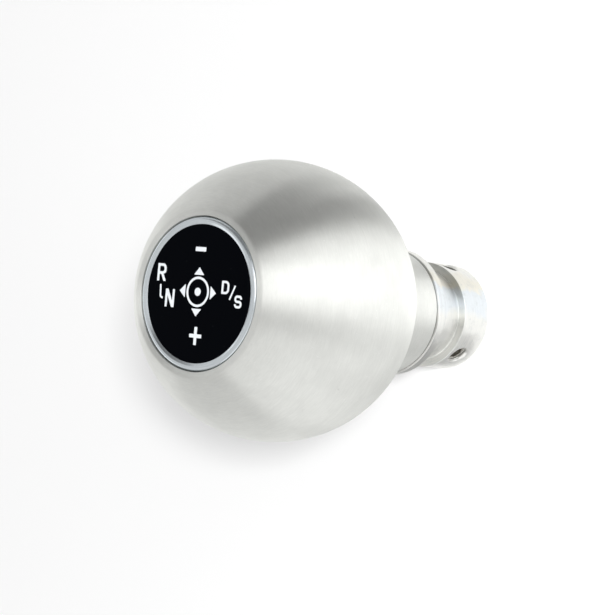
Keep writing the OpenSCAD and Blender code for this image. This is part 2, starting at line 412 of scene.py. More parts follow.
@cache
def screw_tree():
    """A turned and threaded set screw with its hexagon socket, laid on the axis of its hole."""
    tree, given = geometry_tree(
        "Set screw", Facets="Int", Pitch="Float", Length="Float", Socket_radius="Float",
        Socket_depth="Float", Seat="Float", Height="Float", Turn="Float", Material="Material",
    )
    body = revolved(tree, given)
    # The hexagon is twice as long as the socket is deep, with its middle at the screw's outer end
    tall = add(tree, "ShaderNodeMath", [given["Socket depth"], 2.0], operation="MULTIPLY")
    prism = {"Vertices": 6, "Radius": given["Socket radius"], "Depth": tall}
    hexagon = add(tree, "GeometryNodeMeshCylinder", prism)
    outer_end = add(tree, "ShaderNodeCombineXYZ", [0.0, 0.0, given["Length"]])
    cutter = add(tree, "GeometryNodeTransform", {"Geometry": hexagon, "Translation": outer_end})
    parts = {"Mesh 1": body, "Mesh 2": cutter}
    socketed = add(tree, "GeometryNodeMeshBoolean", parts, operation="DIFFERENCE", solver="EXACT")
    out = add(tree, "ShaderNodeCombineXYZ", [given["Seat"], 0.0, given["Height"]])
    laid = add(
        tree, "GeometryNodeTransform", {"Geometry": socketed, "Translation": out, "Rotation": LAID_ALONG_X}
    )
    spin = add(tree, "ShaderNodeCombineXYZ", [0.0, 0.0, given["Turn"]])
    turned = add(tree, "GeometryNodeTransform", {"Geometry": laid, "Rotation": spin})
    return closed_tree(tree, turned, given["Material"])


def arrows_tree():
    """One arrow, copied round a centre."""
    tree, given = geometry_tree("Arrows", Count="Int", Centre="Vector", Material="Material")
    arrow = {"Geometry": given["Geometry"], "Count": given["Count"]}
    ring = add(tree, "GeometryNodeGroup", arrow, node_tree=copies_group())
    placed = add(tree, "GeometryNodeTransform", {"Geometry": ring, "Translation": given["Centre"]})
    return closed_tree(tree, placed, given["Material"])


# Meshes and pieces


def in_scene(name, data):
    """A new object of the scene."""
    made = bpy.data.objects.new(name, data)
    bpy.context.scene.collection.objects.link(made)
    return made


def section_object(name, points):
    """A half section as a chain of edges in the XZ plane. A point (x, z) may have a third number, the depth
    of the screw thread there."""
    mesh = bpy.data.meshes.new(name)
    edges = [(i, i + 1) for i in range(len(points) - 1)]
    mesh.from_pydata([(point[0], 0.0, point[1]) for point in points], edges, [])
    depth = mesh.attributes.new("thread", "FLOAT", "POINT")
    depth.data.foreach_set("value", [point[2] if len(point) > 2 else 0.0 for point in points])
    return in_scene(name, mesh)


def evaluated_mesh(obj):
    """The mesh that an object shows, as a plain mesh."""
    mesh = bpy.data.meshes.new_from_object(obj.evaluated_get(bpy.context.evaluated_depsgraph_get()))
    if not mesh.polygons:
        raise RuntimeError(f"{obj.name} gave no faces")
    return mesh


def through_nodes(obj, tree, **values):
    """The mesh that a Geometry Nodes tree makes of an object, which is then removed."""
    modifier = obj.modifiers.new("Shape", "NODES")
    modifier.node_group = tree
    for item in tree.interface.items_tree:
        key = item.name.replace(" ", "_")
        if item.item_type == "SOCKET" and item.in_out == "INPUT" and key in values:
            modifier[item.identifier] = values[key]
    mesh = evaluated_mesh(obj)
    obj.modifiers.remove(modifier)
    bpy.data.objects.remove(obj)
    if mesh.materials[0] is None:
        mesh.materials.pop(index=0)
    return mesh


def turned_mesh(name, points, material, pitch=1.0):
    """The mesh of a large part that is turned from a half section. The pitch is for a thread on it."""
    section = section_object(name, points)
    return through_nodes(section, turned_tree(), Facets=FACETS, Pitch=pitch, Material=material)


def inked_mesh(name, outlines, height):
    """A flat filled shape of closed outlines in millimetres, in which inner outlines are holes."""
    curve = bpy.data.curves.new(name, "CURVE")
    curve.dimensions = "2D"
    curve.fill_mode = "BOTH"
    curve.extrude = height / MM / 2
    for outline in outlines:
        spline = curve.splines.new("POLY")
        spline.points.add(len(outline) - 1)
        spline.points.foreach_set("co", [part for x, y in outline for part in (x, y, 0.0, 1.0)])
        spline.use_cyclic_u = True
    drawn = in_scene(name, curve)
    mesh = evaluated_mesh(drawn)
    bpy.data.objects.remove(drawn)
    mesh.transform(Matrix.Scale(MM, 4) @ Matrix.Translation((0.0, 0.0, height / MM / 2)))
    return mesh


def piece(name, mesh, body, stands_for=None):
    """Closes and smooths a mesh, and makes it a piece that rides on a body."""
    work = bmesh.new()
    work.from_mesh(mesh)
    bmesh.ops.remove_doubles(work, verts=work.verts, dist=WELD / 2)
    bmesh.ops.dissolve_degenerate(work, edges=work.edges, dist=WELD / 2)
    bmesh.ops.recalc_face_normals(work, faces=work.faces)
    work.to_mesh(mesh)
    work.free()
    mesh.name = name
    mesh.shade_smooth()
    mesh.set_sharp_from_angle(angle=SHARP)
    made = in_scene(name, mesh)
    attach(made, body)
    if stands_for:
        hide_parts(stands_for)
    return made


# Materials


def empty_tree(owner):
    """The tree of a material or a world, without its first nodes."""
    owner.use_nodes = True
    owner.node_tree.nodes.clear()
    return owner.node_tree


def finish_material(name):
    """A new material, its empty tree, and the piece's own coordinates in millimetres."""
    material = bpy.data.materials.new(name)
    tree = empty_tree(material)
    place = add(tree, "ShaderNodeTexCoord").outputs["Object"]
    return material, tree, add(tree, "ShaderNodeMapping", {"Vector": place, "Scale": (1 / MM,) * 3})


def rgba(value):
    """A colour as a socket takes it, from a property or an sRGB hex code."""
    return (*(linear(value) if isinstance(value, str) else value), 1.0)


def tinted(tree, face, *tints):
    """The face colour under one tint after another. Each tint is a pattern, the low and high values between
    which it grows, the most it comes to, and its colour."""
    for pattern, low, high, most, tint in tints:
        span = {"Value": pattern, "From Min": low, "From Max": high, "To Max": most}
        share = add(tree, "ShaderNodeMapRange", span)
        face = add(tree, "ShaderNodeMix", {"Factor": share, "A": face, "B": rgba(tint)}, data_type="RGBA")
    return face


def surfaced(material, face, rough, more, relief=None, strength=0.0, depth=0.0):
    """Closes a material with one surface. A relief is as many millimetres deep as its depth says."""
    tree = material.node_tree
    look = {"Base Color": face, "Roughness": rough, **more}
    if relief:
        height = {"Height": relief, "Strength": strength, "Distance": depth * MM}
        look["Normal"] = add(tree, "ShaderNodeBump", height)
    add(tree, "ShaderNodeOutputMaterial", {"Surface": add(tree, "ShaderNodeBsdfPrincipled", look)})
    return material


def turned_metal(tree, stretch):
    """What a turned metal adds to its surface: the grain runs round the Z axis and stretches highlights. The
    rotation of a quarter turn lays the long side of each highlight across the grain."""
    tangent = add(tree, "ShaderNodeTangent", direction_type="RADIAL", axis="Z")
    return {"Metallic": 1.0, "Anisotropic": stretch, "Anisotropic Rotation": 0.25, "Tangent": tangent}


def within(tree, value, low, high):
    """One where the value lies between low and high, and zero elsewhere."""
    middle, half = (low + high) / 2, (high - low) / 2
    return add(tree, "ShaderNodeMath", [value, middle, half], operation="COMPARE")


def from_axis(tree, place):
    """The part of a place that lies across the Z axis, and its length, the distance from the axis."""
    flat = add(tree, "ShaderNodeVectorMath", [place, (1.0, 1.0, 0.0)], operation="MULTIPLY")
    return flat, add(tree, "ShaderNodeVectorMath", [flat], operation="LENGTH").outputs["Value"]


def ring_marks(tree, place, spacing, streak, detail=3.0, roughness=0.6):
    """Noise in rings round the Z axis: lines a spacing apart, across and along the axis, that change over a
    streak's length round it. The streak is given in turns."""
    flat, radius = from_axis(tree, place)
    way = add(tree, "ShaderNodeVectorMath", [flat], operation="NORMALIZE")
    height = add(tree, "ShaderNodeVectorMath", [place, (0.0, 0.0, 1 / spacing)], operation="MULTIPLY")
    wide = 1 / (TURN * streak)
    spot = add(tree, "ShaderNodeVectorMath", [way, (wide,) * 3, height], operation="MULTIPLY_ADD")
    out = add(tree, "ShaderNodeMath", [radius, spacing], operation="DIVIDE")
    noise = {"Vector": spot, "W": out, "Scale": 1.0, "Detail": detail, "Roughness": roughness}
    return add(tree, "ShaderNodeTexNoise", noise, noise_dimensions="4D")


def hairlines(tree, place, size, width, cover):
    """Short hairline scratches: thin contour lines of a smooth noise, kept only in scattered places."""
    smooth = {"Vector": place, "Scale": 1 / size, "Detail": 1.0, "Distortion": 1.2}
    off = add(tree, "ShaderNodeMath", [add(tree, "ShaderNodeTexNoise", smooth), 0.5], operation="SUBTRACT")
    near = add(tree, "ShaderNodeMath", [off], operation="ABSOLUTE")
    line = add(tree, "ShaderNodeMapRange", {"Value": near, "From Max": width, "To Min": 1.0, "To Max": 0.0})
    patch = add(tree, "ShaderNodeTexNoise", {"Vector": place, "Scale": 2.2 / size, "Detail": 2.0})
    kept = add(tree, "ShaderNodeMapRange", {"Value": patch, "From Min": 1 - cover, "From Max": 1.06 - cover})
    return add(tree, "ShaderNodeMath", [line, kept], operation="MULTIPLY")


def specks(tree, place, spacing, size):
    """Small round specks, some bolder than others, in the cells of a scatter of points a spacing apart."""
    cells = add(tree, "ShaderNodeTexVoronoi", {"Vector": place, "Scale": 1 / spacing}).outputs
    edge = {"Value": cells["Distance"], "From Min": size / 2, "From Max": size, "To Min": 1.0, "To Max": 0.0}
    spot = add(tree, "ShaderNodeMapRange", edge)
    lot = add(tree, "ShaderNodeSeparateColor", [cells["Color"]])
    few = add(tree, "ShaderNodeMapRange", {"Value": lot, "From Min": 0.55, "From Max": 0.95})
    return add(tree, "ShaderNodeMath", [spot, few], operation="MULTIPLY")


def turned_aluminium(scene):
    """Aluminium bar turned on a lathe, rubbed down with a fine pad while it spun, and clear anodised: a pale
    satin metal whose grain runs round the axis and draws each highlight out along the axis."""
    material, tree, place = finish_material("Turned aluminium, satin anodised")
    ball, colours = scene.knob_ball, scene.knob_colours
    # The pad leaves short lines 0.05 mm apart. They are drawn 0.2 mm apart, or they would not show.
    grain = ring_marks(tree, place, spacing=0.2, streak=0.012)
    tool = ring_marks(tree, place, spacing=0.7, streak=0.4, detail=2.0, roughness=0.5)
    blotch = {"Vector": place, "Scale": 1 / 5, "Detail": 3.0, "Roughness": 0.55}
    cloud = add(tree, "ShaderNodeTexNoise", blotch)
    lines = hairlines(tree, place, size=3.2, width=0.004, cover=0.36)
    glints = specks(tree, place, spacing=1.0, size=0.15)
    height = add(tree, "ShaderNodeSeparateXYZ", [place]).outputs["Z"]
    chamfer_top = (ball.neck_z + ball.neck_chamfer) / MM
    shade, scratched, glint, seam_shade = colours.aluminium_shade, "#B4B4B0", "#FDFDFB", "#6E6E6A"
    face = tinted(
        tree,
        rgba(colours.aluminium),
        (grain, 0.3, 0.75, 0.55, shade),
        (tool, 0.45, 0.75, 0.2, shade),
        (cloud, 0.4, 0.75, 0.5, shade),
        (lines, 0.0, 1.0, 0.35, scratched),
        (glints, 0.0, 1.0, 0.6, glint),
        # Painted shade in the chamfer that the neck sits on: a dark line along the seam
        (height, chamfer_top, chamfer_top - 0.1, 0.35, seam_shade),
    )
    rough = add(tree, "ShaderNodeMath", [grain, 0.06, 0.44], operation="MULTIPLY_ADD")
    relief = add(tree, "ShaderNodeMath", [lines, -1.0, grain], operation="MULTIPLY_ADD")
    return surfaced(material, face, rough, turned_metal(tree, 0.95), relief, strength=0.24, depth=0.008)


def satin_rim(scene):
    """Aluminium cup, turned and matt anodised: a smooth pale blue-grey metal, softer than the ball."""
    material, tree, place = finish_material("Satin anodised aluminium")
    # Tool marks 0.1 mm apart, drawn 0.2 mm apart so that they show
    grain = ring_marks(tree, place, spacing=0.2, streak=0.06)
    brighter = "#DEE4E8"
    face = tinted(tree, rgba(scene.knob_colours.rim), (grain, 0.3, 0.7, 1.0, brighter))
    rough = add(tree, "ShaderNodeMath", [grain, 0.08, 0.2], operation="MULTIPLY_ADD")
    return surfaced(material, face, rough, turned_metal(tree, 0.4), grain, strength=0.3, depth=0.004)


def black_disc(scene):
    """Acrylic disc, back-painted black: nearly black with a quiet gloss and the odd grain of dust."""
    material, tree, place = finish_material("Black acrylic")
    smear = add(tree, "ShaderNodeTexNoise", {"Vector": place, "Scale": 1 / 6, "Detail": 4.0})
    dust, pale_dust = specks(tree, place, spacing=1.6, size=0.07), "#C8CCD2"
    face = tinted(tree, rgba(scene.knob_colours.disc), (dust, 0.0, 1.0, 0.05, pale_dust))
    rough = add(tree, "ShaderNodeMath", [smear, 0.12, 0.2], operation="MULTIPLY_ADD")
    return surfaced(material, face, rough, {"IOR": 1.49, "Specular IOR Level": 0.02})


def white_ink(scene):
    """Screen-printed white ink: flat, dense and matt, with a faint unevenness of the mesh."""
    name = "White screen ink"
    if name in bpy.data.materials:
        return bpy.data.materials[name]
    material, tree, place = finish_material(name)
    weave = add(tree, "ShaderNodeTexNoise", {"Vector": place, "Scale": 1 / 0.25, "Detail": 2.0})
    thin_ink = "#D5DADF"
    face = tinted(tree, rgba(scene.knob_colours.ink), (weave, 0.4, 0.8, 0.35, thin_ink))
    return surfaced(material, face, 0.55, {}, weave, strength=0.3, depth=0.005)


def foam_pad(scene):
    """Closed-cell adhesive foam: a soft, dull cream sheet with fine cells."""
    material, tree, place = finish_material("Adhesive foam")
    cells = add(tree, "ShaderNodeTexVoronoi", {"Vector": place, "Scale": 1 / 0.3})
    cell_wall = "#B9B5A8"
    face = tinted(tree, rgba(scene.knob_colours.foam), (cells, 0.1, 0.7, 1.0, cell_wall))
    return surfaced(material, face, 0.9, {}, cells, strength=0.6, depth=0.05)


def zinc_plate(scene):
    """Turned steel with bright zinc plate and a thin passivation: a smooth white metal over faint tool
    marks. The film is thicker along the side that hung lowest in the bath, the piece's +Y side. As it
    thickens it turns from clear through pale blue to straw, and is clear again where it is thickest."""
    material, tree, place = finish_material("Zinc plated steel")
    colours, part, screws = scene.knob_colours, scene.knob_adapter, scene.knob_screws
    # Tool marks 0.12 mm apart, drawn 0.25 mm apart so that they show
    grain = ring_marks(tree, place, spacing=0.25, streak=0.15)
    waves = {"Vector": place, "Scale": 1 / 5, "Detail": 3.0, "Distortion": 0.6}
    blotch = {"Vector": place, "Scale": 1 / 1.3, "Detail": 4.0, "Roughness": 0.6}
    wander, bloom = (add(tree, "ShaderNodeTexNoise", noise) for noise in (waves, blotch))
    side = add(tree, "ShaderNodeSeparateXYZ", [place]).outputs
    film = add(tree, "ShaderNodeMath", [wander, 7.0, side["Y"]], operation="MULTIPLY_ADD")
    # Painted shade on the collar's shoulder and on the walls of the tapped holes, strongest on the +Y side
    fade = {"Value": side["Y"], "From Min": -7.0, "From Max": 7.0, "To Min": 0.05, "To Max": 1.0}
    thin = add(tree, "ShaderNodeMapRange", fade)
    top, height, neck = (z / MM for z in (part.collar_top, screws.height, scene.knob_ball.neck_z))
    shoulder = within(tree, side["Z"], top - 0.05, top + 0.1)
    bore_wall, countersink = part.bore_radius / MM + 0.25, (part.collar_radius - screws.sink) / MM
    wall = within(tree, from_axis(tree, place)[1], bore_wall, countersink)
    band = within(tree, side["Z"], height - 3.3, height + 3.3)
    hole = add(tree, "ShaderNodeMath", [wall, band], operation="MULTIPLY")
    painted_shoulder_shade, painted_hole_shade = (
        add(tree, "ShaderNodeMath", [spot, thin], operation="MULTIPLY") for spot in (shoulder, hole)
    )
    marks, cloudy = "#C4C7C8", "#CDD0D0"
    face = tinted(
        tree,
        rgba(colours.zinc),
        (film, 3.5, 6.0, 0.8, colours.zinc_blue),
        (film, 8.6, 9.6, 0.85, colours.zinc_straw),
        (film, 11.0, 12.4, 0.9, colours.zinc),
        (grain, 0.45, 0.8, 0.35, marks),
        (bloom, 0.55, 0.8, 0.5, cloudy),
        # Painted shade on the shoulder and in the tapped holes
        (painted_shoulder_shade, 0.0, 1.0, 0.45, colours.zinc_painted_shade),
        (painted_hole_shade, 0.0, 1.0, 0.9, colours.zinc_painted_shade),
        # Painted shade in the seam under the neck
        (within(tree, side["Z"], neck - 0.2, neck + 0.1), 0.0, 1.0, 0.5, colours.zinc_painted_shade),
    )
    rough = add(tree, "ShaderNodeMath", [bloom, 0.14, 0.27], operation="MULTIPLY_ADD")
    return surfaced(material, face, rough, turned_metal(tree, 0.85), grain, strength=0.4, depth=0.006)


def oiled_screw(scene):
    """Hardened steel screw, oiled, with little left of its black finish: a warm grey metal, paler in spots
    where the finish has worn off."""
    material, tree, place = finish_material("Oiled black steel")
    colours = scene.knob_colours
    patchy = {"Vector": place, "Scale": 1 / 0.6, "Detail": 4.0, "Roughness": 0.65}
    worn = add(tree, "ShaderNodeTexNoise", patchy)
    face = tinted(tree, rgba(colours.screw), (worn, 0.45, 0.65, 0.9, colours.screw_worn))
    rough = add(tree, "ShaderNodeMath", [worn, 0.2, 0.3], operation="MULTIPLY_ADD")
    return surfaced(material, face, rough, {"Metallic": 1.0}, worn, strength=0.3, depth=0.01)


# Operators: the pieces


def centre_height(ball):
    """Height of the middle of the ball above the adapter's end."""
    reach = (ball.radius - ball.face_round) ** 2 - ball.face_radius**2
    return ball.face_z - ball.face_round - math.sqrt(reach)


class KNOB_OT_ball(bpy.types.Operator):
    """Make the turned ball with its flat face, its neck and the tapped hole for the adapter"""

    bl_idname = "gear_knob.ball"
    bl_label = "Ball and Neck"

    def execute(self, context):
        ball = context.scene.knob_ball
        spigot = context.scene.knob_adapter
        edge = 0.06 * MM
        radius, blend = ball.radius, ball.blend
        round_z, centre_z = ball.face_z - ball.face_round, centre_height(ball)
        touch = math.atan2(round_z - centre_z, ball.face_radius)
        blend_x = ball.neck_radius + blend
        blend_z = centre_z - math.sqrt((radius + blend) ** 2 - blend_x**2)
        leave = math.atan2(blend_z - centre_z, blend_x)
        top = rounded(
            [
                (0.0, ball.recess_z),
                (ball.recess_radius, ball.recess_z, edge),
                (ball.recess_radius, ball.face_z, edge),
                (ball.face_radius, ball.face_z),
            ],
            closed=False,
        )
        outside = arc((ball.face_radius, round_z), ball.face_round, math.pi / 2, touch, steps=12)
        outside += arc((0.0, centre_z), radius, touch, leave, steps=110)[1:]
        outside += arc((blend_x, blend_z), blend, math.pi + leave, math.pi, steps=14)[1:]
        chamfer, mouth = ball.neck_chamfer, spigot.spigot_chamfer
        seat = rounded(
            [
                outside[-1],
                (ball.neck_radius, ball.neck_z + chamfer, edge),
                (ball.neck_radius - chamfer, ball.neck_z, edge),
                (ball.hole_radius + mouth, ball.neck_z, edge),
                (ball.hole_radius, ball.neck_z + mouth),
            ],
            closed=False,
        )
        # The hole's thread covers the spigot's and runs in step with it, so that the two mesh
        start = (ball.hole_radius, ball.neck_z + spigot.relief_width + spigot.relief)
        end = (ball.hole_radius, spigot.spigot_top - spigot.spigot_chamfer)
        pitch = spigot.spigot_pitch
        thread = threaded_run(start, end, -spigot.spigot_thread, pitch, fade=0.05, fine=6)
        drill_tip = ball.hole_top + ball.hole_radius / math.tan(ball.drill_angle / 2)
        point = [(ball.hole_radius, ball.hole_top), (0.0, drill_tip)]
        section = supported(top)[:-1] + outside + supported(seat)[1:] + thread + point
        mesh = turned_mesh("Ball section", section, turned_aluminium(context.scene), pitch)
        piece("ball_and_neck", mesh, "knob", "knob_head")
        return {"FINISHED"}


class KNOB_OT_badge_cup(bpy.types.Operator):
    """Make the badge's turned cup, whose bevelled rim shows round the disc"""

    bl_idname = "gear_knob.badge_cup"
    bl_label = "Badge Cup"

    def execute(self, context):
        badge = context.scene.knob_badge
        edge = 0.05 * MM
        outline = rounded(
            [
                (0.0, badge.cup_z),
                (badge.cup_radius, badge.cup_z, edge),
                (badge.cup_radius, badge.crest_z, badge.outer_round),
                (badge.seat_radius + badge.bevel, badge.crest_z, edge),
                (badge.seat_radius, badge.disc_top, edge),
                (badge.seat_radius, badge.disc_z, edge),
                (0.0, badge.disc_z),
            ],
            steps=8,
            closed=False,
        )
        outline = supported(outline, margin=0.04 * MM)
        mesh = turned_mesh("Cup section", outline, satin_rim(context.scene))
        piece("badge_rim", mesh, "knob", "badge_cup")
        return {"FINISHED"}


class KNOB_OT_badge_disc(bpy.types.Operator):
    """Make the black disc that carries the print"""

    bl_idname = "gear_knob.badge_disc"
    bl_label = "Badge Disc"

    def execute(self, context):
        badge = context.scene.knob_badge
        outline = rounded(
            [
                (0.0, badge.disc_z),
                (badge.disc_radius, badge.disc_z, badge.disc_edge),
                (badge.disc_radius, badge.disc_top, badge.disc_edge),
                (0.0, badge.disc_top),
            ],
            steps=6,
            closed=False,
        )
        mesh = turned_mesh("Disc section", supported(outline), black_disc(context.scene))
        piece("printed_disc", mesh, "knob", "badge_disc")
        return {"FINISHED"}


class KNOB_OT_badge_print(bpy.types.Operator):
    """Make the white print: gear letters, signs, gate line and middle ring"""

    bl_idname = "gear_knob.badge_print"
    bl_label = "Badge Print"

    def execute(self, context):
        badge = context.scene.knob_badge
        mesh = inked_mesh("Badge print", printed_outlines(), badge.ink)
        mesh.transform(Matrix.Translation((0.0, 0.0, badge.disc_top)))
        mesh.materials.append(white_ink(context.scene))
        piece("badge_marks", mesh, "knob")
        return {"FINISHED"}


class KNOB_OT_badge_arrows(bpy.types.Operator):
    """Make the four small arrows that point outwards from the middle ring"""

    bl_idname = "gear_knob.badge_arrows"
    bl_label = "Badge Arrows"

    def execute(self, context):
        badge = context.scene.knob_badge
        base, tip, half = (x / MM for x in (badge.arrow_base, badge.arrow_reach, badge.arrow_width / 2))
        corners = [(base, -half), (tip, 0.0), (base, half)]
        arrow = rounded([(*corner, ARROW_ROUND) for corner in corners])
        single = in_scene("Arrow", inked_mesh("Arrow", [arrow], badge.ink))
        centre = (*(x * MM for x in RING_CENTRE), badge.disc_top)
        ink = white_ink(context.scene)
        mesh = through_nodes(single, arrows_tree(), Count=badge.arrow_count, Centre=centre, Material=ink)
        piece("badge_arrows", mesh, "knob")
        return {"FINISHED"}


class KNOB_OT_badge_pad(bpy.types.Operator):
    """Give the adhesive pad under the badge its foam"""

    bl_idname = "gear_knob.badge_pad"
    bl_label = "Badge Pad"

    def execute(self, context):
        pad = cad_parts["badge_pad"]
        pad.data.materials.clear()
        pad.data.materials.append(foam_pad(context.scene))
        return {"FINISHED"}


class KNOB_OT_adapter(bpy.types.Operator):
    """Make the turned adapter with its collar, boot groove, flange, threaded spigot and tapped holes"""

    bl_idname = "gear_knob.adapter"
    bl_label = "Clamp Adapter"

    def execute(self, context):
        part = context.scene.knob_adapter
        screws = context.scene.knob_screws
        edge = 0.06 * MM
        neck_z = context.scene.knob_ball.neck_z
        flange_z = neck_z - part.flange_thickness
        relief_top = neck_z + part.relief_width
        thread_start = (part.spigot_radius, relief_top + part.relief)
        thread_end = (part.spigot_radius, part.spigot_top - part.spigot_chamfer)
        lower = rounded(
            [
                (part.bore_radius, part.mouth, edge),
                (part.bore_radius + part.mouth, 0.0, edge),
                (part.collar_radius - part.collar_chamfer, 0.0, edge),
                (part.collar_radius, part.collar_chamfer, edge),
                (part.collar_radius, part.collar_top - part.shoulder, edge),
                (part.collar_radius - part.shoulder, part.collar_top, edge),
                (part.barrel_radius, part.collar_top, part.barrel_fillet),
                (part.barrel_radius, flange_z, part.barrel_fillet),
                (part.flange_radius - part.flange_chamfer, flange_z, edge),
                (part.flange_radius, flange_z + part.flange_chamfer, edge),
                (part.flange_radius, neck_z - part.flange_chamfer, edge),
                (part.flange_radius - part.flange_chamfer, neck_z, edge),
                (part.spigot_radius - part.relief, neck_z, edge),
                (part.spigot_radius - part.relief, relief_top, edge),
                thread_start,
            ],
            steps=6,
            closed=False,
        )
        thread = threaded_run(thread_start, thread_end, -part.spigot_thread, part.spigot_pitch, fade=0.05)
        upper = [
            thread_end,
            (part.spigot_radius - part.spigot_chamfer, part.spigot_top),
            (part.bore_radius, part.spigot_top),
            lower[0],
        ]
        section = supported(lower) + thread[1:] + supported(upper)[1:]
        hole = tapped_hole_section(part, screws)
        mesh = through_nodes(
            section_object("Adapter section", section), adapter_tree(), Facets=FACETS,
            Pitch=part.spigot_pitch, Hole=hole, Hole_facets=screws.facets, Hole_pitch=screws.pitch,
            Hole_height=screws.height, Hole_count=screws.count, First_turn=screws.first_turn,
            Material=zinc_plate(context.scene),
        )
        bpy.data.objects.remove(hole)
        piece("clamp_adapter", mesh, "knob", "adapter")
        return {"FINISHED"}


class KNOB_OT_set_screws(bpy.types.Operator):
    """Make the set screws with their threads, cup points and hexagon sockets"""

    bl_idname = "gear_knob.set_screws"
    bl_label = "Set Screws"

    def execute(self, context):
        screws = context.scene.knob_screws
        material = oiled_screw(context.scene)
        edge, end = 0.04 * MM, screws.screw_length
        cone_end, shank_end = (screws.radius, screws.cone), (screws.radius, end - screws.chamfer)
        tip = rounded(
            [(0.0, screws.point_depth), (screws.point_radius, 0.0, edge), cone_end],
            closed=False,
        )
        shank = threaded_run(cone_end, shank_end, -screws.thread, screws.pitch, fade=0.12)
        outline = tip + shank[1:] + [(screws.radius - screws.chamfer, end), (0.0, end)]
        for i in range(screws.count):
            mesh = through_nodes(
                section_object("Screw section", outline), screw_tree(), Facets=screws.facets,
                Pitch=screws.pitch, Length=end, Socket_radius=screws.socket_radius,
                Socket_depth=screws.socket_depth, Seat=screws.seat, Height=screws.height,
                Turn=screws.first_turn + TURN * i / screws.count, Material=material,
            )
            piece(f"socket_screw_{i + 1}", mesh, f"screw_{i + 1}", f"set_screw_{i + 1}")
        return {"FINISHED"}


def tapped_hole_section(part, screws):
    """The section of one tapped hole, from inside the bore to outside the collar, with its countersink."""
    beyond = 1 * MM
    start = part.bore_radius - beyond
    sunk, outer = part.collar_radius - screws.sink, part.collar_radius + beyond
    ends = (screws.hole_radius, start), (screws.hole_radius, sunk)
    thread = threaded_run(*ends, screws.thread, screws.pitch, fade=0.06)
    mouth = [(screws.hole_radius + screws.sink + beyond, outer), (0.0, outer)]
    return section_object("Hole section", [(0.0, start)] + thread + mouth)


# The print, in millimetres from the middle of the disc

RING_CENTRE = (-0.1, 0.33)
RING_OUTER = 2.8
RING_INNER = 2.35
RING_STEPS = 96
DOT_RADIUS = 0.75
INK_ROUND = 0.14
ARROW_ROUND = 0.06


def printed_outlines():
    """Closed outlines of all the printed marks but the arrows. An outline inside another is a hole."""
    soft = INK_ROUND
    letter_r = [
        rounded([
            (0, 0, soft), (0.54, 0, soft), (0.54, 1.26), (0.98, 1.26), (1.62, 0, soft), (2.28, 0, soft),
            (1.52, 1.38), (2.2, 1.38, 0.65), (2.2, 3.26, 0.85), (0, 3.26, soft),
        ], 8),
        rounded([(0.54, 1.78, soft), (1.66, 1.78, 0.4), (1.66, 2.78, 0.4), (0.54, 2.78, soft)], 6),
    ]
    letter_n = [
        rounded([
            (0, 0, soft), (0.52, 0, soft), (0.52, 2.2), (1.66, 0, soft), (2.3, 0, soft), (2.3, 3.36, soft),
            (1.78, 3.36, soft), (1.78, 1.16), (0.64, 3.36, soft), (0, 3.36, soft),
        ]),
    ]
    letter_d = [
        rounded([(0, 0, soft), (1.86, 0, 0.85), (1.86, 2.42, 0.85), (0, 2.42, soft)], 10),
        rounded([(0.46, 0.42, soft), (1.4, 0.42, 0.45), (1.4, 2.0, 0.45), (0.46, 2.0, soft)], 8),
    ]
    letter_s = [
        stroke([
            (1.6, 1.64), (1.6, 2.13), (0.22, 2.13), (0.22, 1.2), (1.6, 1.16), (1.6, 0.23), (0.22, 0.23),
            (0.22, 0.72),
        ], 0.44, 0.44),
    ]
    up, across, arm = 1.66, 1.5, 0.34
    sign_plus = [
        rounded([
            (-arm, -up, soft), (arm, -up, soft), (arm, -arm), (across, -arm, soft), (across, arm, soft),
            (arm, arm), (arm, up, soft), (-arm, up, soft), (-arm, arm), (-across, arm, soft),
            (-across, -arm, soft), (-arm, -arm),
        ]),
    ]
    wide, thick = 1.3, 0.4
    sign_minus = [
        rounded([(-wide, -thick, soft), (wide, -thick, soft), (wide, thick, soft), (-wide, thick, soft)]),
    ]
    slash = [stroke([(7.83, -0.6), (9.0, 2.02)], 0.34)]
    gate = [stroke([(-9.58, 1.18), (-9.42, -1.05), (-8.84, -1.34)], 0.38, 0.3)]
    last = TURN * (1 - 1 / RING_STEPS)
    ring = [arc((0, 0), r, 0, last, RING_STEPS - 1) for r in (RING_OUTER, RING_INNER, DOT_RADIUS)]
    placed = [
        (letter_r, -10.65, 1.78), (letter_n, -8.13, -2.92), (letter_d, 5.7, 0.34), (letter_s, 9.05, -2.02),
        (sign_plus, 0.27, -7.76), (sign_minus, -0.24, 8.17), (slash, 0, 0), (gate, 0, 0),
        (ring, *RING_CENTRE),
    ]
    return [[(px + x, py + y) for px, py in outline] for outlines, x, y in placed for outline in outlines]


# The stage: floor, light and camera


class KNOB_OT_stage(bpy.types.Operator):
    """Make the pale floor, the soft studio light and the camera"""

    bl_idname = "gear_knob.stage"
    bl_label = "Stage"

    def execute(self, context):
        scene = context.scene
        scene.view_settings.view_transform = "Standard"
        make_floor(scene)
        make_world(scene)
        for make, rows in ((make_lamp, LAMPS), (make_card, CARDS), (lay_card, LAID_CARDS)):
            for name, numbers in rows.items():
                make(scene, name, *numbers)
        make_camera(scene)
        return {"FINISHED"}


# Each softbox: azimuth and elevation from the ball, width and height, all in degrees, and radiance. All but
# the shadow softbox are reflected, which its sixth value says.
LAMPS = {
    "Shadow softbox": (7, 46.7, 6.5, 6.5, 180.0, False),
    "Key softbox": (21, 6, 60, 36, 1.33),
    "Top softbox": (20, 47, 30, 42, 1.25),
    "Fill softbox": (298, 16, 66, 50, 0.55),
    "Back softbox": (188, 8, 50, 36, 0.52),
}
# A card is dark against the white surround, and only reflections show it: it is given as a softbox is, with
# a distance in metres as well.
CARDS = {
    "Side card": (73.5, 21, 39, 48, 0.26, 0.09),
    "High card": (108, 50, 60, 32, 0.22, 0.6),
}
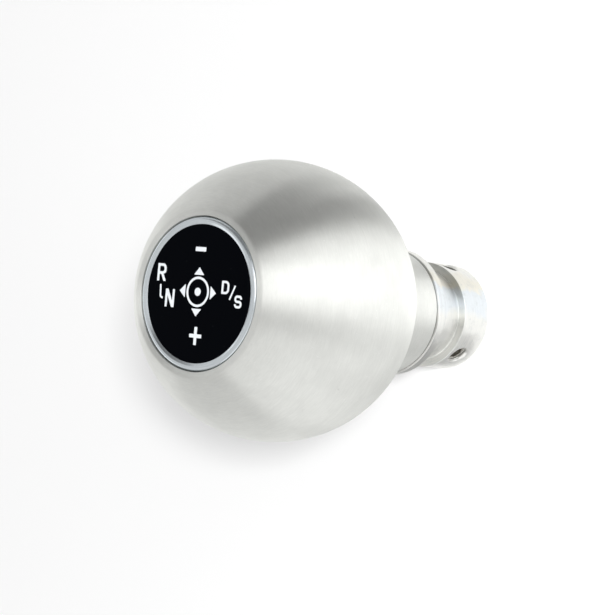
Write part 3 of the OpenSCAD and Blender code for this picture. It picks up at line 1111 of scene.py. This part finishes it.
# A laid card: azimuth in degrees, distance, width and depth in millimetres, and radiance
LAID_CARDS = {
    # The near and foot cards are painted shadow: dark sheets beside the knob that stand in for its shadow on
    # the floor, and only reflections show them
    "Near card": (285, 50.0, 80.0, 62.0, 0.28),
    "Foot card": (305, 14.5, 18.0, 5.0, 0.52),
    "Low card": (68, 115.0, 44.0, 80.0, 0.15),
}
CARD_LIFT = 0.3 * MM
LAMP_DISTANCE = 0.9
SURROUND = 0.45
REFLECTED_SURROUND = 0.73

# The floor's side and the distances between which its plain white grows, all in metres, the share of plain
# white beside the knob, and its strength
FLOOR_SIDE = 8.0
WHITE_FROM, WHITE_TO = 0.15, 1.0
WHITE_NEAR = 0.25
WHITE_STRENGTH = 1.1


def direction(azimuth, elevation):
    """The way to a place at an azimuth and an elevation in radians."""
    level = math.cos(elevation)
    return Vector((level * math.cos(azimuth), level * math.sin(azimuth), math.sin(elevation)))


def ball_centre(scene):
    """The middle of the ball, which the lamps and the camera are placed by."""
    return Vector((0.0, 0.0, centre_height(scene.knob_ball)))


def aimed(obj, scene, azimuth, elevation, distance):
    """Places an object in a direction from the ball, with its Z axis pointing away from the ball."""
    way = direction(math.radians(azimuth), math.radians(elevation))
    obj.location = ball_centre(scene) + way * distance
    obj.rotation_euler = way.to_track_quat("Z", "Y").to_euler()


def spans(distance, *angles):
    """How wide things are that fill these angles, in degrees, at a distance."""
    return [2 * distance * math.tan(math.radians(a / 2)) for a in angles]


def make_lamp(scene, name, azimuth, elevation, wide, high, radiance, mirrored=True):
    """A softbox that faces the ball. It lights and is reflected, and the camera doesn't see it."""
    lamp = bpy.data.lights.new(name, "AREA")
    lamp.shape = "RECTANGLE"
    lamp.size, lamp.size_y = spans(LAMP_DISTANCE, wide, high)
    # A one-sided panel of radiance 1 gives pi watts for each square metre of it
    lamp.energy = radiance * math.pi * lamp.size * lamp.size_y
    made = in_scene(name, lamp)
    made.visible_camera = False
    made.visible_glossy = mirrored
    aimed(made, scene, azimuth, elevation, LAMP_DISTANCE)


def card_of(name, wide, high, radiance):
    """A dark card that only reflections show."""
    material = bpy.data.materials.new(name)
    tree = empty_tree(material)
    dim = add(tree, "ShaderNodeEmission", {"Color": rgba("#FFFFFF"), "Strength": radiance})
    add(tree, "ShaderNodeOutputMaterial", {"Surface": dim})
    card = flat_piece(name, wide, high, material)
    for ray in ("camera", "diffuse", "shadow", "transmission"):
        setattr(card, "visible_" + ray, False)
    return card


def make_card(scene, name, azimuth, elevation, wide, high, radiance, distance):
    """A card that faces the ball."""
    card = card_of(name, *spans(distance, wide, high), radiance)
    aimed(card, scene, azimuth, elevation, distance)


def lay_card(scene, name, azimuth, reach, wide, deep, radiance):
    """A card that lies on the floor beside the knob."""
    card = card_of(name, deep * MM, wide * MM, radiance)
    turn = math.radians(azimuth)
    card.location = direction(turn, 0.0) * reach * MM + Vector((0.0, 0.0, CARD_LIFT))
    card.rotation_euler = (0.0, 0.0, turn)


def make_world(scene):
    """Even light from all round. Reflections show it a little brighter, and the camera sees white."""
    scene.world = bpy.data.worlds.new("Studio")
    tree = empty_tree(scene.world)
    path = add(tree, "ShaderNodeLightPath").outputs
    sky = rgba(scene.knob_colours.sky)
    dim, bright, white = (
        add(tree, "ShaderNodeBackground", {"Color": sky, "Strength": level})
        for level in (SURROUND, REFLECTED_SURROUND, 1.0)
    )
    mirrored = add(tree, "ShaderNodeMixShader", [path["Is Glossy Ray"], dim, bright])
    seen = add(tree, "ShaderNodeMixShader", [path["Is Camera Ray"], mirrored, white])
    add(tree, "ShaderNodeOutputWorld", {"Surface": seen})


def make_floor(scene):
    """A wide pale floor that keeps the knob's shadow and is clear from below."""
    material = bpy.data.materials.new("Studio floor")
    tree = empty_tree(material)
    matt = add(tree, "ShaderNodeBsdfDiffuse", {"Color": rgba(scene.knob_colours.floor)})
    white = add(tree, "ShaderNodeEmission", {"Color": rgba("#FFFFFF"), "Strength": WHITE_STRENGTH})
    path = add(tree, "ShaderNodeLightPath").outputs
    place = add(tree, "ShaderNodeTexCoord").outputs["Object"]
    reach = add(tree, "ShaderNodeVectorMath", [place], operation="LENGTH").outputs["Value"]
    # Near the knob a share is plain white, the rest keeps the shadow. Far out the camera sees only white
    growth = {"Value": reach, "From Min": WHITE_FROM, "From Max": WHITE_TO, "To Min": WHITE_NEAR}
    far = add(tree, "ShaderNodeMapRange", growth, interpolation_type="SMOOTHSTEP")
    share = add(tree, "ShaderNodeMath", [path["Is Camera Ray"], far], operation="MULTIPLY")
    for ray in ("Is Glossy Ray", "Is Transmission Ray"):
        mirrored = add(tree, "ShaderNodeMath", [path[ray], WHITE_NEAR], operation="MULTIPLY")
        share = add(tree, "ShaderNodeMath", [share, mirrored], operation="MAXIMUM")
    lit = add(tree, "ShaderNodeMixShader", [share, matt, white])
    clear = add(tree, "ShaderNodeBsdfTransparent")
    below = add(tree, "ShaderNodeNewGeometry").outputs["Backfacing"]
    add(tree, "ShaderNodeOutputMaterial", {"Surface": add(tree, "ShaderNodeMixShader", [below, lit, clear])})
    flat_piece("Studio floor", FLOOR_SIDE, FLOOR_SIDE, material)


def flat_piece(name, wide, deep, material):
    """A flat rectangle round the origin that is part of the stage."""
    mesh = bpy.data.meshes.new(name)
    x, y = wide / 2, deep / 2
    mesh.from_pydata([(-x, -y, 0), (x, -y, 0), (x, y, 0), (-x, y, 0)], [], [(0, 1, 2, 3)])
    mesh.materials.append(material)
    made = in_scene(name, mesh)
    return made


# The camera stands 383 mm from the ball, on its +X side, and is rolled so that the lever axis lies level
CAMERA_AZIMUTH = math.radians(0.12)
CAMERA_ELEVATION = math.radians(50.3)
CAMERA_ROLL = math.radians(84.87)
CAMERA_DISTANCE = 383.0 * MM
CAMERA_RIGHT = 6.14 * MM
CAMERA_UP = -1.29 * MM
SENSOR = 36.0
FOCAL_LENGTH = SENSOR * 2000 / 615


def make_camera(scene):
    """The camera at the photograph's place."""
    lens = bpy.data.cameras.new("Camera")
    lens.sensor_width = SENSOR
    lens.lens = FOCAL_LENGTH
    lens.clip_start = 0.01
    lens.clip_end = 50.0
    back = direction(CAMERA_AZIMUTH, CAMERA_ELEVATION)
    level = Vector((-math.sin(CAMERA_AZIMUTH), math.cos(CAMERA_AZIMUTH), 0.0))
    upright = back.cross(level)
    right = level * math.cos(CAMERA_ROLL) - upright * math.sin(CAMERA_ROLL)
    up = upright * math.cos(CAMERA_ROLL) + level * math.sin(CAMERA_ROLL)
    place = ball_centre(scene) + back * CAMERA_DISTANCE + right * CAMERA_RIGHT + up * CAMERA_UP
    camera = in_scene("Camera", lens)
    camera.matrix_world = Matrix.Translation(place) @ Matrix((right, up, back)).transposed().to_4x4()
    scene.camera = camera


# Panel, registration and the run


class KNOB_PT_panel(bpy.types.Panel):
    """The knob's pieces and their sizes, in the sidebar"""

    bl_idname = "KNOB_PT_panel"
    bl_label = "Gear Knob"
    bl_space_type = "VIEW_3D"
    bl_region_type = "UI"
    bl_category = "Gear Knob"

    def draw(self, context):
        for operator in PIECES:
            self.layout.operator(operator.bl_idname)
        for name, group in GROUPS.items():
            box = self.layout.box()
            box.label(text=group.__doc__)
            for key in group.__annotations__:
                box.prop(getattr(context.scene, name), key)


GROUPS = {
    "knob_ball": BallSizes,
    "knob_badge": BadgeSizes,
    "knob_adapter": AdapterSizes,
    "knob_screws": ScrewSizes,
    "knob_colours": KnobColours,
}
PIECES = (
    KNOB_OT_ball,
    KNOB_OT_badge_cup,
    KNOB_OT_badge_disc,
    KNOB_OT_badge_print,
    KNOB_OT_badge_arrows,
    KNOB_OT_badge_pad,
    KNOB_OT_adapter,
    KNOB_OT_set_screws,
    KNOB_OT_stage,
)


def register():
    """Registers the property groups, the operators and the panel."""
    for name, group in GROUPS.items():
        bpy.utils.register_class(group)
        setattr(bpy.types.Scene, name, PointerProperty(type=group))
    for item in (*PIECES, KNOB_PT_panel):
        bpy.utils.register_class(item)


def unregister():
    """Removes what register added."""
    for item in (KNOB_PT_panel, *reversed(PIECES)):
        bpy.utils.unregister_class(item)
    for name, group in GROUPS.items():
        delattr(bpy.types.Scene, name)
        bpy.utils.unregister_class(group)


def main():
    """Makes every piece and the stage."""
    register()
    bpy.ops.gear_knob.ball()
    bpy.ops.gear_knob.badge_cup()
    bpy.ops.gear_knob.badge_disc()
    bpy.ops.gear_knob.badge_print()
    bpy.ops.gear_knob.badge_arrows()
    bpy.ops.gear_knob.badge_pad()
    bpy.ops.gear_knob.adapter()
    bpy.ops.gear_knob.set_screws()
    bpy.ops.gear_knob.stage()


if __name__ == "__main__":
    main()
